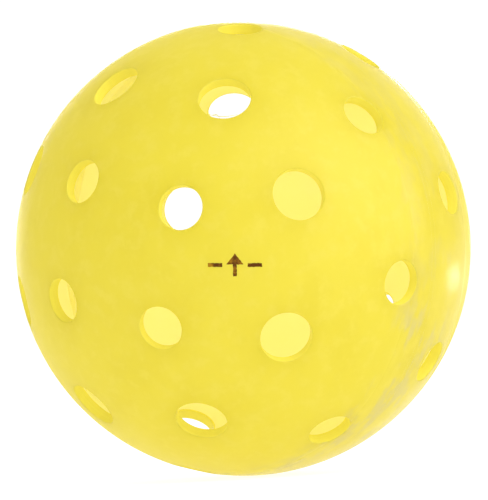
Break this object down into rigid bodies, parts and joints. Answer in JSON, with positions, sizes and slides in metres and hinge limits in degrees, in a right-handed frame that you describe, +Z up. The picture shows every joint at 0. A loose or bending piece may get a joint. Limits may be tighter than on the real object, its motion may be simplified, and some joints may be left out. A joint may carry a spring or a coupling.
{
  "type": "pickleball ball",
  "caption": "Outdoor pickleball ball: a hollow perforated plastic sphere of two welded half shells with rings of small and large drilled holes and a printed arrow.",
  "frame": {"origin": "the ball's centre", "axes": "-Y out through the pole of the marked front half, +Y out through the rear half's pole, so the weld lies in the XZ plane; +Z up as the printed arrow points; +X to the right seen from the front"},
  "size_m": [0.074, 0.074, 0.074],
  "materials": {
    "yellow_polyethylene": "translucent yellow polyethylene, satin, with faint mottling",
    "turned_weld": "the same plastic, turned, with fine lines around the ball",
    "weld_bead": "the same plastic, re-melted and smooth",
    "brown_ink": "thin dark brown printed ink"
  },
  "bodies": {
    "root": {"front_half_shell": "yellow_polyethylene", "rear_half_shell": "yellow_polyethylene", "weld_ring": "turned_weld", "inner_weld_bead": "weld_bead", "orientation_mark": "brown_ink"}
  },
  "joints": []
}
